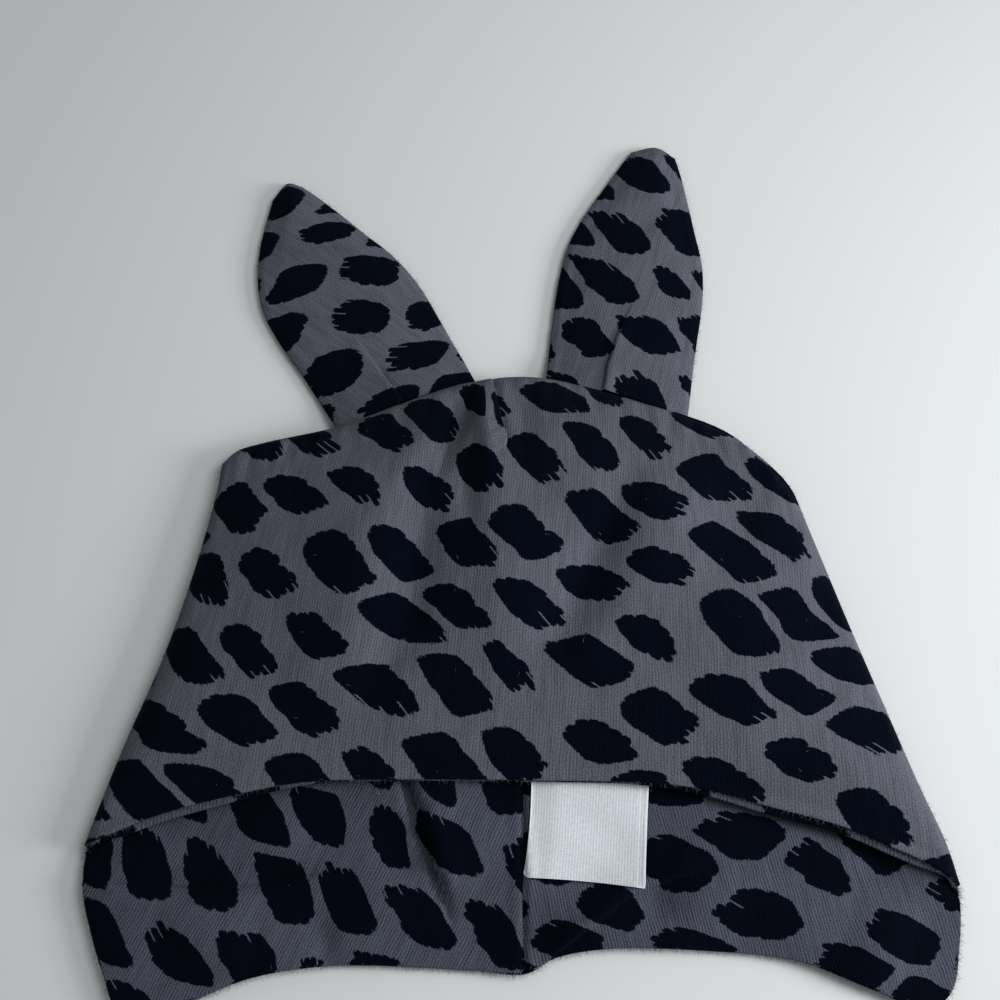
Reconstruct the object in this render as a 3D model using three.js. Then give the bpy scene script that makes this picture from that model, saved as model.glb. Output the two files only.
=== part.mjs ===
// A baby's hat with two ears, in printed cotton jersey, lying flat on its back.
// The body is one cloth shell closed along the crown and open at the mouth, with a lining of the same
// jersey inside it. The front hem arches up over the longer back, whose two lower corners are flaps.
// Each ear is a front piece and a back piece sewn round their edge, and stands out of the crown seam.
// A folded care label is sewn into the lining's centre back seam.
// Millimetres. +X runs to the right, +Y from the mouth to the ears, +Z up from the surface it lies on.
import * as THREE from "three";
import { mergeVertices } from "three/addons/utils/BufferGeometryUtils.js";

// Cloth
const jerseyWall = 1.0;
const layerGap = 0.3;
const sideFoldHeight = 6.4;

// Body, seen from above
const brimWidth = 185;
const crownWidth = 136;
const crownHeight = 113;
const hemArch = 17.6;
const flapDrop = 34;
const brimSkew = 8;

// Body, seen from the side
const mouthRise = 4.6;
const crownRise = 13.5;
const liningRoll = 1.4;
const rollFall = 0.5;

// Ears
const earLength = 70;
const earWidth = 37;
const earBaseWidth = 35.5;
const earSpacing = 51;
const earLoft = 1.8;
const earRamp = 12;

// Care label, a ribbon folded double
const labelWidth = 25.5;
const labelLength = 42;
const labelThickness = 1.0;
const labelShown = 20;
const backSeamOffset = 0.8;
const labelTurn = THREE.MathUtils.degToRad(-5);

// The mesh
const clothSteps = 24;
const riseSteps = 11;
const earCrossSteps = 8;
const earLengthSteps = 9;
const curveSamples = 200;
const silhouetteSamples = 80;
const mergeDistance = 1e-4;
const onEdgeDistance = 0.05;

// Side folds: how far up the fold, and how far in from the brim's width towards the crown's width.
const SIDE_FOLDS = [
  { up: 0.0, leftIn: 0.0, rightIn: 0.0 },
  { up: 0.1, leftIn: 0.11, rightIn: 0.07 },
  { up: 0.25, leftIn: 0.29, rightIn: 0.24 },
  { up: 0.46, leftIn: 0.57, rightIn: 0.46 },
  { up: 0.7, leftIn: 0.81, rightIn: 0.71 },
  { up: 0.92, leftIn: 0.97, rightIn: 0.93 },
  { up: 1.0, leftIn: 1.0, rightIn: 1.0 },
];

// Crown seam: across as a share of half the crown's width, up as a share of its height.
const CROWN_SEAM = [
  { across: -1.03, up: 0.8 },
  { across: -0.98, up: 0.83 },
  { across: -0.88, up: 0.85 },
  { across: -0.63, up: 0.886 },
  { across: -0.41, up: 0.94 },
  { across: -0.16, up: 0.99 },
  { across: 0.06, up: 1.0 },
  { across: 0.3, up: 0.968 },
  { across: 0.59, up: 0.912 },
  { across: 0.72, up: 0.878 },
  { across: 0.84, up: 0.824 },
  { across: 0.94, up: 0.755 },
  { across: 0.97, up: 0.7 },
];

// Front hem: across as a share of half the brim's width, rise as a share of the arch.
const FRONT_HEM = [
  { across: -1.0, rise: 0.0 },
  { across: -0.83, rise: 0.4 },
  { across: -0.66, rise: 0.67 },
  { across: -0.5, rise: 0.86 },
  { across: -0.25, rise: 0.95 },
  { across: 0.02, rise: 1.0 },
  { across: 0.3, rise: 1.03 },
  { across: 0.43, rise: 0.98 },
  { across: 0.57, rise: 0.82 },
  { across: 0.74, rise: 0.62 },
  { across: 0.84, rise: 0.42 },
  { across: 0.93, rise: 0.23 },
  { across: 1.0, rise: 0.0 },
];

// Back hem: across as a share of half the brim's width, drop as a share of the longer flap's drop.
const BACK_HEM = [
  { across: -1.0, drop: 0.0 },
  { across: -0.985, drop: 0.31 },
  { across: -0.92, drop: 0.76 },
  { across: -0.88, drop: 0.96 },
  { across: -0.83, drop: 1.0 },
  { across: -0.73, drop: 0.86 },
  { across: -0.6, drop: 0.71 },
  { across: -0.42, drop: 0.62 },
  { across: -0.1, drop: 0.61 },
  { across: 0.01, drop: 0.615 },
  { across: 0.08, drop: 0.515 },
  { across: 0.2, drop: 0.45 },
  { across: 0.4, drop: 0.435 },
  { across: 0.62, drop: 0.47 },
  { across: 0.78, drop: 0.61 },
  { across: 0.9, drop: 0.705 },
  { across: 0.955, drop: 0.6 },
  { across: 0.985, drop: 0.33 },
  { across: 1.0, drop: 0.0 },
];

// Soft folds in the front: across as a share of half the crown's width, up as a share of its height,
// breadth as a share of the crown's width, and depth as a share of the crown's rise. Ridges are positive.
const FRONT_FOLDS = [
  { name: "dart pleat", from: [-0.05, 0.985], to: [-0.02, 0.815], breadth: 0.035, depth: 0.1 },
  { name: "dart step", from: [0.03, 0.985], to: [0.06, 0.83], breadth: 0.03, depth: -0.12 },
  { name: "left valley", from: [-0.15, 0.92], to: [-0.3, 0.74], breadth: 0.035, depth: -0.11 },
  { name: "left run", from: [-0.3, 0.74], to: [-0.52, 0.42], breadth: 0.06, depth: -0.1 },
  { name: "middle ridge", from: [-0.08, 0.76], to: [-0.12, 0.5], breadth: 0.07, depth: 0.07 },
  { name: "right run", from: [0.42, 0.76], to: [0.12, 0.4], breadth: 0.06, depth: -0.1 },
  { name: "corner dent", from: [0.84, 0.72], to: [0.72, 0.6], breadth: 0.06, depth: -0.09 },
];

// Ears: where the middle of the base stands on the crown, as a share of the spacing, the turn from +Y,
// which way the outer edge lies, and the length that shows as a share of the ear's length.
const EARS = [
  { side: "left", at: -0.525, turn: 27.5, outer: -1, shown: 0.985 },
  { side: "right", at: 0.475, turn: -10, outer: 1, shown: 1.025 },
];

// Ear outlines: along as a share of the length, and each edge as a share of half the width.
const EAR_EDGES = [
  { along: 0.0, leftOuter: 0.96, leftInner: 0.96, rightOuter: 0.92, rightInner: 0.92 },
  { along: 0.25, leftOuter: 1.04, leftInner: 0.95, rightOuter: 0.93, rightInner: 1.0 },
  { along: 0.42, leftOuter: 1.12, leftInner: 0.92, rightOuter: 0.935, rightInner: 1.02 },
  { along: 0.55, leftOuter: 1.14, leftInner: 0.8, rightOuter: 0.88, rightInner: 0.98 },
  { along: 0.68, leftOuter: 1.0, leftInner: 0.6, rightOuter: 0.69, rightInner: 0.81 },
  { along: 0.8, leftOuter: 0.75, leftInner: 0.42, rightOuter: 0.52, rightInner: 0.6 },
  { along: 0.9, leftOuter: 0.46, leftInner: 0.22, rightOuter: 0.36, rightInner: 0.4 },
  { along: 0.97, leftOuter: 0.27, leftInner: 0.08, rightOuter: 0.25, rightInner: 0.25 },
];

// Ear pleat: a valley up the middle of the front piece from its base.
const earPleat = { reach: 0.5, breadth: 0.22, depth: 0.55 };

// How the front fills out: how square its rise is from side to side, how fast folds start above the hem and
// end below the crown, and how much of the crown's rise is there at its foot and added towards its top.
const fullness = { squareness: 2.6, foldStart: 4, foldEnd: 5, foot: 0.8, top: 0.35 };

// Places of the mesh's rows in a rounded edge, as shares of its radius.
const ROUND_EDGE = [0, 0.2, 0.6, 1.1];

const foldRadius = sideFoldHeight / 2;
const halfBrim = brimWidth / 2;
const halfCrown = crownWidth / 2;
const liningInset = jerseyWall + layerGap;

const clamp01 = (value) => Math.min(1, Math.max(0, value));
const smooth = (value) => clamp01(value) ** 2 * (3 - 2 * clamp01(value));
const spline = (points) => new THREE.CatmullRomCurve3(points, false, "centripetal");

// The line through both lower ends of the side folds, which isn't quite level.
const brimLine = (across) => (-brimSkew / 2) * across;

function crownSeamCurve() {
  return spline(
    CROWN_SEAM.map(({ across, up }) => new THREE.Vector3(across * halfCrown, up * crownHeight, 0)),
  );
}

function sideFoldCurve(side, top) {
  const foot = new THREE.Vector3(side * halfBrim, brimLine(side), 0);
  return spline(
    SIDE_FOLDS.map((row) => {
      const inward = side < 0 ? row.leftIn : row.rightIn;
      return new THREE.Vector3(
        THREE.MathUtils.lerp(foot.x, top.x, inward),
        THREE.MathUtils.lerp(foot.y, top.y, row.up),
        0,
      );
    }),
  );
}

function hemCurve(rows, heightOf) {
  return spline(
    rows.map((row) => new THREE.Vector3(row.across * halfBrim, brimLine(row.across) + heightOf(row), 0)),
  );
}

// A point of the surface that four edge curves bound: bottom and top run left to right, left and right
// run upwards.
function patchPoint(edges, across, up) {
  const bottom = edges.bottom.getPointAt(across);
  const top = edges.top.getPointAt(across);
  const left = edges.left.getPointAt(up);
  const right = edges.right.getPointAt(up);
  const point = bottom.multiplyScalar(1 - up).addScaledVector(top, up);
  point.addScaledVector(left, 1 - across).addScaledVector(right, across);
  point.addScaledVector(edges.bottom.getPointAt(0), -(1 - across) * (1 - up));
  point.addScaledVector(edges.bottom.getPointAt(1), -across * (1 - up));
  point.addScaledVector(edges.top.getPointAt(0), -(1 - across) * up);
  point.addScaledVector(edges.top.getPointAt(1), -across * up);
  return point;
}

// Shares from 0 to 1, with close steps in the rounded edge at each end that is asked for.
function shares(length, steps, roundStart, roundEnd) {
  const edge = ROUND_EDGE.map((part) => (part * foldRadius) / length);
  const first = roundStart ? edge : [0];
  const last = roundEnd ? edge.map((share) => 1 - share).reverse() : [1];
  const from = first[first.length - 1];
  const span = last[0] - from;
  const between = Array.from({ length: steps - 1 }, (_, k) => from + (span * (k + 1)) / steps);
  return [...first, ...between, ...last];
}

const crownSeam = crownSeamCurve();
const leftFold = sideFoldCurve(-1, crownSeam.getPointAt(0));
const rightFold = sideFoldCurve(1, crownSeam.getPointAt(1));
const frontHem = hemCurve(FRONT_HEM, (row) => row.rise * hemArch);
const backHem = hemCurve(BACK_HEM, (row) => -row.drop * flapDrop);
const frontEdges = { bottom: frontHem, top: crownSeam, left: leftFold, right: rightFold };
const backEdges = { bottom: backHem, top: crownSeam, left: leftFold, right: rightFold };
const acrossShares = shares(crownSeam.getLength(), clothSteps, true, true);
const upShares = shares(leftFold.getLength(), riseSteps, false, true);

// The body's closed edge as one line, from the left fold's foot over the crown to the right fold's foot.
const silhouette = [
  ...leftFold.getSpacedPoints(silhouetteSamples),
  ...crownSeam.getSpacedPoints(silhouetteSamples).slice(1),
  ...rightFold.getSpacedPoints(silhouetteSamples).reverse().slice(1),
];

function silhouetteNormal(index) {
  const before = silhouette[Math.max(index - 1, 0)];
  const after = silhouette[Math.min(index + 1, silhouette.length - 1)];
  const along = after.clone().sub(before).normalize();
  return new THREE.Vector3(along.y, -along.x, 0);
}

// How far a point lies inside the silhouette, and the direction straight inwards.
function edgeOf(point) {
  let best = { distance: Infinity, inward: null };
  silhouette.slice(1).forEach((end, k) => {
    const near = new THREE.Line3(silhouette[k], end).closestPointToPoint(point, true, new THREE.Vector3());
    const distance = near.distanceTo(point);
    if (distance < best.distance) best = { distance, near, index: k };
  });
  const onEdge = best.distance < onEdgeDistance;
  const inward = onEdge ? silhouetteNormal(best.index + 1) : point.clone().sub(best.near).normalize();
  return { distance: best.distance, inward };
}

// How high the soft folds of the front stand at a point.
function foldHeight(point) {
  return FRONT_FOLDS.reduce((height, fold) => {
    const [from, to] = [fold.from, fold.to].map(
      ([across, up]) => new THREE.Vector3(across * halfCrown, up * crownHeight, 0),
    );
    const near = new THREE.Line3(from, to).closestPointToPoint(point, true, new THREE.Vector3());
    const away = near.distanceTo(point) / (fold.breadth * crownWidth);
    return height + fold.depth * crownRise * Math.exp(-away * away);
  }, 0);
}

// How far the front stands up over a flat fold: low at the mouth, fullest in the crown, nothing at the edges.
function frontRise(across, up, point) {
  const side = 1 - Math.abs(2 * across - 1) ** fullness.squareness;
  const arch = 4 * up * (1 - up);
  const length = mouthRise * (1 - up) + crownRise * arch * (fullness.foot + fullness.top * up);
  const folds = smooth(up * fullness.foldStart) * smooth((1 - up) * fullness.foldEnd);
  return side * (length + foldHeight(point) * folds);
}

// The grid of places that every layer of the body is laid out from.
function bodyGrid(edges, isFront) {
  return upShares.map((up) =>
    acrossShares.map((across) => {
      const place = patchPoint(edges, across, up);
      const { distance, inward } = edgeOf(place);
      const onEdge = across === 0 || across === 1 || up === 1;
      const flat = onEdge ? 0 : Math.min(distance / foldRadius, 1);
      return {
        place,
        inward,
        edgeCosine: 1 - flat,
        edgeSine: Math.sqrt(1 - (1 - flat) ** 2),
        rise: isFront ? frontRise(across, up, place) : 0,
      };
    }),
  );
}

// One skin of the body, a given depth inside the outermost one.
function bodySkin(grid, inset, isFront, roll) {
  return grid.map((row, rowIndex) =>
    row.map((cell, column) => {
      const point = cell.place.clone().addScaledVector(cell.inward, inset * cell.edgeCosine);
      const lift = (foldRadius - inset) * cell.edgeSine;
      point.z = isFront ? foldRadius + lift + cell.rise : foldRadius - lift;
      if (isFront && rowIndex === 0) {
        const rolled = roll * cell.edgeSine ** 4 * rollShare(acrossShares[column]);
        point.y -= rolled;
        point.z -= rolled * rollFall;
      }
      return point;
    }),
  );
}

// The lining rolls out under the front hem most at the sides and least in the middle.
const rollShare = (across) => 0.4 + 0.6 * Math.abs(2 * across - 1);

// Adds a grid of points as two triangles a cell. Rows run upwards and points in a row to the right,
// and the face looks up unless it is turned.
function addGrid(triangles, grid, turned) {
  for (let row = 0; row + 1 < grid.length; row++) {
    for (let column = 0; column + 1 < grid[row].length; column++) {
      const lower = [grid[row][column], grid[row][column + 1]];
      const upper = [grid[row + 1][column], grid[row + 1][column + 1]];
      const pair = [lower[0], lower[1], upper[1], lower[0], upper[1], upper[0]];
      triangles.push(...(turned ? pair.reverse() : pair));
    }
  }
}

function closedGeometry(triangles) {
  const geometry = new THREE.BufferGeometry().setFromPoints(triangles);
  const merged = mergeVertices(geometry, mergeDistance);
  merged.computeVertexNormals();
  return merged;
}

// A cloth shell between two depths inside the body: front and back meet at the folds and the crown seam,
// and the hem closes the wall round the mouth.
function bodyShell(outerInset, innerInset, roll) {
  const triangles = [];
  for (const [grid, isFront] of [
    [frontGrid, true],
    [backGrid, false],
  ]) {
    const outer = bodySkin(grid, outerInset, isFront, roll);
    const inner = bodySkin(grid, innerInset, isFront, roll);
    addGrid(triangles, outer, !isFront);
    addGrid(triangles, inner, isFront);
    addGrid(triangles, [outer[0], inner[0]], isFront);
  }
  return closedGeometry(triangles);
}

// A sheet of cloth between a lower and an upper grid of points, closed round its edge.
function sheetGeometry(lower, upper) {
  const triangles = [];
  const last = lower.length - 1;
  const end = lower[0].length - 1;
  const side = (grid, column) => grid.map((row) => row[column]);
  addGrid(triangles, upper, false);
  addGrid(triangles, lower, true);
  addGrid(triangles, [lower[0], upper[0]], false);
  addGrid(triangles, [lower[last], upper[last]], true);
  addGrid(triangles, [side(lower, 0), side(upper, 0)], true);
  addGrid(triangles, [side(lower, end), side(upper, end)], false);
  return closedGeometry(triangles);
}

// The four edges of an ear: its base lies along the crown seam, one seam gap outside it.
function earEdges(ear) {
  const seamLength = crownSeam.getLength();
  const samples = Array.from({ length: curveSamples + 1 }, (_, k) => k / curveSamples);
  const target = ear.at * earSpacing;
  const middle = samples.reduce((best, share) =>
    Math.abs(crownSeam.getPointAt(share).x - target) < Math.abs(crownSeam.getPointAt(best).x - target)
      ? share
      : best,
  );
  const reach = earBaseWidth / 2 / seamLength;
  const basePoints = Array.from({ length: earCrossSteps + 1 }, (_, k) => {
    const share = middle + reach * ((2 * k) / earCrossSteps - 1);
    const along = crownSeam.getTangentAt(share);
    const outward = new THREE.Vector3(-along.y, along.x, 0);
    return crownSeam.getPointAt(share).addScaledVector(outward, layerGap);
  });
  const bottom = spline(basePoints);
  const turn = THREE.MathUtils.degToRad(ear.turn);
  const alongAxis = new THREE.Vector3(-Math.sin(turn), Math.cos(turn), 0);
  const acrossAxis = new THREE.Vector3(Math.cos(turn), Math.sin(turn), 0);
  const foot = crownSeam.getPointAt(middle);
  const edge = (sign, baseEnd) => {
    const points = EAR_EDGES.map((row) => {
      const wide = row[ear.side + (sign === ear.outer ? "Outer" : "Inner")];
      return foot
        .clone()
        .addScaledVector(alongAxis, row.along * ear.shown * earLength)
        .addScaledVector(acrossAxis, (sign * wide * earWidth) / 2);
    });
    const shift = baseEnd.clone().sub(points[0]);
    return spline(points.map((point, k) => point.addScaledVector(shift, (1 - EAR_EDGES[k].along) ** 3)));
  };
  const left = edge(-1, basePoints[0]);
  const right = edge(1, basePoints[basePoints.length - 1]);
  const tip = foot.clone().addScaledVector(alongAxis, ear.shown * earLength);
  const top = spline([left.getPointAt(1), tip, right.getPointAt(1)]);
  return { bottom, top, left, right };
}

// The two pieces of an ear. They meet at a seam that is as high as the crown seam at the base and comes
// down a ramp to let the back piece lie flat.
function earPieces(ear) {
  const edges = earEdges(ear);
  const lowSeam = jerseyWall + layerGap / 2;
  const grids = { backLower: [], backUpper: [], frontLower: [], frontUpper: [] };
  for (let row = 0; row <= earLengthSteps; row++) {
    const up = row / earLengthSteps;
    const added = { backLower: [], backUpper: [], frontLower: [], frontUpper: [] };
    for (let column = 0; column <= earCrossSteps; column++) {
      const across = column / earCrossSteps;
      const point = patchPoint(edges, across, up);
      const seam = THREE.MathUtils.lerp(foldRadius, lowSeam, smooth((up * earLength) / earRamp));
      const offCentre = 2 * across - 1;
      const pillow = (1 - offCentre ** 2) * (1 - up ** 3) * earLoft;
      const valley = Math.exp(-((offCentre / earPleat.breadth) ** 2));
      const pleat = earPleat.depth * valley * (1 - smooth(up / earPleat.reach));
      const loft = pillow * (1 - pleat);
      const at = (height) => new THREE.Vector3(point.x, point.y, height);
      added.backLower.push(at(seam - layerGap / 2 - jerseyWall));
      added.backUpper.push(at(seam - layerGap / 2));
      added.frontLower.push(at(seam + layerGap / 2 + loft));
      added.frontUpper.push(at(seam + layerGap / 2 + jerseyWall + loft));
    }
    Object.keys(grids).forEach((key) => grids[key].push(added[key]));
  }
  return {
    back: sheetGeometry(grids.backLower, grids.backUpper),
    front: sheetGeometry(grids.frontLower, grids.frontUpper),
  };
}

// The label's lower left corner lies on the centre back seam, and its shown length hangs below the front hem.
function labelMesh() {
  const shape = new THREE.BoxGeometry(labelWidth, labelLength, labelThickness);
  shape.translate(labelWidth / 2, labelLength / 2, labelThickness / 2);
  const label = new THREE.Mesh(shape, clothMaterials.label);
  label.name = "care_label";
  const seat = liningInset + jerseyWall + layerGap;
  label.position.set(backSeamOffset, frontHem.getPointAt(0.5).y - labelShown, seat);
  label.rotation.z = labelTurn;
  return label;
}

const clothMaterials = {
  outer: new THREE.MeshStandardMaterial({ color: 0x676874, roughness: 0.95, metalness: 0 }),
  lining: new THREE.MeshStandardMaterial({ color: 0x5c5e6a, roughness: 0.95, metalness: 0 }),
  label: new THREE.MeshStandardMaterial({ color: 0xe9ebec, roughness: 0.7, metalness: 0 }),
};

const frontGrid = bodyGrid(frontEdges, true);
const backGrid = bodyGrid(backEdges, false);

function named(name, geometry, material) {
  const mesh = new THREE.Mesh(geometry, material);
  mesh.name = name;
  return mesh;
}

const hat = new THREE.Group();
hat.add(named("hat_body", bodyShell(0, jerseyWall, 0), clothMaterials.outer));
hat.add(
  named("hat_lining", bodyShell(liningInset, liningInset + jerseyWall, liningRoll), clothMaterials.lining),
);
for (const ear of EARS) {
  const pieces = earPieces(ear);
  hat.add(named(`ear_${ear.side}_front`, pieces.front, clothMaterials.outer));
  hat.add(named(`ear_${ear.side}_back`, pieces.back, clothMaterials.outer));
}
hat.add(labelMesh());

// The origin is the middle of the hat's outline, on the surface that it lies on.
const outline = new THREE.Box3().setFromObject(hat);
hat.position.set(-(outline.min.x + outline.max.x) / 2, -(outline.min.y + outline.max.y) / 2, -outline.min.z);

export default hat;
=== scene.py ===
import math

import bpy
import numpy as np
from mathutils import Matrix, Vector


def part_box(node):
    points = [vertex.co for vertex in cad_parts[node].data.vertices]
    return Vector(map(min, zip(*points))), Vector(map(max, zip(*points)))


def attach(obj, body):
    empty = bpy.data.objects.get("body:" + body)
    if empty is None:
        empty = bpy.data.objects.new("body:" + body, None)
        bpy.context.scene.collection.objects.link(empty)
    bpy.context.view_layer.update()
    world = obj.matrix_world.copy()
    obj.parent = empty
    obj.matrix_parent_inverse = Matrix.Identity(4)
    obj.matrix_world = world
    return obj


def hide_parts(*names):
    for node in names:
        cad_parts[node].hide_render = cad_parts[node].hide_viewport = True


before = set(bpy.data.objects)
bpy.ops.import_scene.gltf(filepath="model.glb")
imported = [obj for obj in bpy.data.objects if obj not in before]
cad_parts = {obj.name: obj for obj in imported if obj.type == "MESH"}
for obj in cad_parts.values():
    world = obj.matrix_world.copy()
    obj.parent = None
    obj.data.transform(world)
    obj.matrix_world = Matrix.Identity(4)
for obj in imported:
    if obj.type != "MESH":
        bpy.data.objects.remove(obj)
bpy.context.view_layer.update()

# A baby's hat with two ears in printed cotton jersey, lying flat on its back. Lengths are millimetres
# until place() turns them into the frame's metres. "raw" coordinates have x = 0 in the middle of the brim
# and y = 0 on the line through the lower ends of the side folds, as the sewing pattern has.

# Body, seen from above
BRIM_WIDTH = 185
CROWN_WIDTH = 136
CROWN_HEIGHT = 113
HEM_ARCH = 17.6
FLAP_DROP = 34
BRIM_SKEW = 8

# Body, seen from the side
CLOTH = 0.8
LAYER_GAP = 0.15
FOLD_RADIUS = 2.9
MOUTH_RISE = 1.5
CROWN_RISE = 7.2
LINING_ROLL = 1.5
BACK_SEAM_X = 0.8

# Ears
EAR_LENGTH = 70
EAR_WIDTH = 37
EAR_BASE = 35.5
EAR_SPACING = 51
EAR_EDGE_RADIUS = 1.35
EAR_LOFT = 1.6
EAR_RAMP = 12

# Care label
LABEL_WIDTH = 25.5
LABEL_LENGTH = 42
LABEL_SHOWN = 20
LABEL_TURN = math.radians(-5)

# Knit
WALE = 0.64
COURSE = 0.5

# Loose fibres: their radius, and the shortest and longest on the hems, round the rims and on the cloth
FIBRE_RADIUS = 0.045
HEM_FIBRES = (0.6, 1.6)
RIM_FIBRES = (0.3, 1.0)
LYING_FIBRES = (0.3, 1.1)

# Side folds: how far up the fold, and how far in from the brim's width towards the crown's width.
SIDE_FOLDS = (
    # up, left in, right in
    (0.0, 0.0, 0.0),
    (0.1, 0.11, 0.07),
    (0.25, 0.29, 0.24),
    (0.46, 0.57, 0.46),
    (0.7, 0.81, 0.71),
    (0.92, 0.97, 0.93),
    (1.0, 1.0, 1.0),
)

# Crown seam: across as a share of half the crown's width, up as a share of its height.
CROWN_SEAM = (
    (-1.03, 0.8),
    (-0.98, 0.83),
    (-0.88, 0.85),
    (-0.63, 0.886),
    (-0.41, 0.94),
    (-0.16, 0.99),
    (0.06, 1.0),
    (0.3, 0.968),
    (0.59, 0.912),
    (0.72, 0.878),
    (0.84, 0.824),
    (0.94, 0.755),
    (0.97, 0.7),
)

# Front hem: across as a share of half the brim's width, rise as a share of the arch.
FRONT_HEM = (
    (-1.0, 0.0),
    (-0.83, 0.4),
    (-0.66, 0.67),
    (-0.5, 0.86),
    (-0.25, 0.95),
    (0.02, 1.0),
    (0.3, 1.03),
    (0.43, 0.98),
    (0.57, 0.82),
    (0.74, 0.62),
    (0.84, 0.42),
    (0.93, 0.23),
    (1.0, 0.0),
)

# Back hem: across as a share of half the brim's width, drop as a share of the longer flap's drop.
BACK_HEM = (
    (-1.0, 0.0),
    (-0.985, 0.31),
    (-0.92, 0.76),
    (-0.88, 0.96),
    (-0.83, 1.0),
    (-0.73, 0.86),
    (-0.6, 0.71),
    (-0.42, 0.62),
    (-0.1, 0.61),
    (0.01, 0.615),
    (0.08, 0.515),
    (0.2, 0.45),
    (0.4, 0.435),
    (0.62, 0.47),
    (0.78, 0.61),
    (0.9, 0.705),
    (0.955, 0.6),
    (0.985, 0.33),
    (1.0, 0.0),
)

# Soft folds: a route of (across, up) shares of half the crown's width and of its height, the breadth and
# the depth in millimetres. Ridges are positive, valleys negative.
FRONT_FOLDS = (
    # name, route, breadth, depth
    ("dart ridge", ((-0.135, 0.985), (-0.125, 0.9), (-0.1, 0.83), (-0.1, 0.76)), 2.4, 1.9),
    ("right of dart", ((0.0, 0.98), (0.02, 0.88), (0.01, 0.79)), 3.0, -0.8),
    ("dart end", ((-0.05, 0.8), (-0.07, 0.72), (-0.12, 0.6)), 4.0, 0.7),
    ("left valley", ((-0.15, 0.96), (-0.19, 0.895), (-0.225, 0.83), (-0.25, 0.78)), 2.6, -2.8),
    ("left valley shoulder", ((-0.27, 0.93), (-0.32, 0.86), (-0.37, 0.76)), 4.5, 1.0),
    ("left run", ((-0.274, 0.8), (-0.338, 0.604), (-0.363, 0.444), (-0.496, 0.292)), 5.5, -2.6),
    ("left run shoulder", ((-0.42, 0.72), (-0.5, 0.55), (-0.56, 0.4)), 8.0, 1.1),
    ("small valley", ((-0.162, 0.8), (-0.177, 0.669)), 2.6, -1.5),
    ("middle ridge", ((0.005, 0.76), (-0.062, 0.484), (-0.1, 0.3)), 8.0, 1.5),
    ("right run", ((0.37, 0.74), (0.228, 0.543), (0.178, 0.484), (0.08, 0.386)), 5.0, -2.4),
    ("right shoulder", ((0.55, 0.78), (0.42, 0.55), (0.3, 0.4)), 8.0, 1.2),
    ("right dent", ((0.78, 0.76), (0.7, 0.6)), 6.5, -1.7),
    ("right ridge", ((1.02, 0.64), (0.95, 0.5)), 6.0, 0.9),
    ("left corner dent", ((-0.8, 0.78), (-0.72, 0.66)), 7.0, -1.1),
    ("lower left dent", ((-0.9, 0.42), (-0.7, 0.3)), 9.0, -0.9),
)

# The same for the back, which shows its inside below the front hem.
BACK_FOLDS = (
    ("left of wedge", ((-0.5, 0.14), (-0.46, 0.0), (-0.4, -0.1)), 6.0, 0.9),
    ("right swell", ((0.62, 0.0), (0.5, -0.12)), 8.0, 1.5),
    ("right hollow", ((0.42, -0.03), (0.4, -0.1)), 4.0, -0.8),
    ("right end swell", ((1.0, -0.1), (1.2, -0.16)), 9.0, 2.0),
    ("right end hollow", ((1.1, 0.03), (1.16, -0.02)), 4.0, -1.0),
    ("left crease", ((-1.15, -0.035), (-0.9, -0.03), (-0.66, -0.012)), 2.2, -2.1),
    ("left swell", ((-1.12, -0.13), (-0.8, -0.14)), 9.0, 1.9),
    ("left notch", ((-0.63, -0.09), (-0.58, -0.17)), 2.6, -1.1),
    ("left upper swell", ((-1.0, 0.05), (-0.7, 0.08)), 7.0, 1.2),
)

# Sharp folds where the cloth on one side lies over the other: the route in the same shares, the side on
# top, its height, its edge's radius, how far the raised part reaches, and the depth of the gap beside it.
FRONT_PLEATS = (
    # name, route, top side, height, edge, reach, gap
    (
        "dart",
        ((-0.092, 0.99), (-0.062, 0.899), (-0.035, 0.822), (-0.052, 0.792)),
        "left", 1.4, 0.4, 5.0, 1.0,
    ),
    (
        "left fold",
        ((-0.15, 0.96), (-0.2, 0.895), (-0.24, 0.83), (-0.28, 0.74)),
        "left", 0.8, 0.9, 7.0, 0.35,
    ),
    ("corner dart", ((0.79, 0.83), (0.84, 0.79), (0.9, 0.745)), "left", 0.5, 0.4, 3.0, 0.5),
)
BACK_PLEATS = (
    (
        "wedge",
        ((-0.37, 0.24), (-0.333, 0.138), (-0.29, 0.06), (-0.232, -0.044), (-0.2, -0.11)),
        "right", 4.0, 0.4, 8.0, 2.6,
    ),
    (
        "wedge bank",
        ((-0.395, 0.24), (-0.37, 0.138), (-0.332, 0.06), (-0.258, -0.044), (-0.205, -0.11)),
        "left", 1.7, 0.6, 5.0, 1.0,
    ),
    (
        "diagonal crease",
        ((0.5, -0.02), (0.33, -0.06), (0.18, -0.125), (0.06, -0.175)),
        "left", 3.2, 1.2, 4.5, 0.2,
    ),
    (
        "left fold line",
        ((-1.25, -0.03), (-0.95, -0.035), (-0.7, -0.022), (-0.45, 0.0)),
        "right", 1.6, 1.8, 6.0, 0.25,
    ),
)

EARS = (
    # side, base middle as a share of the spacing, turn from +Y, outer side, length shown, turn of its wales
    ("left", -0.525, 27.5, -1, 1.01, -24),
    ("right", 0.475, -10, 1, 1.045, 6),
)

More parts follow.
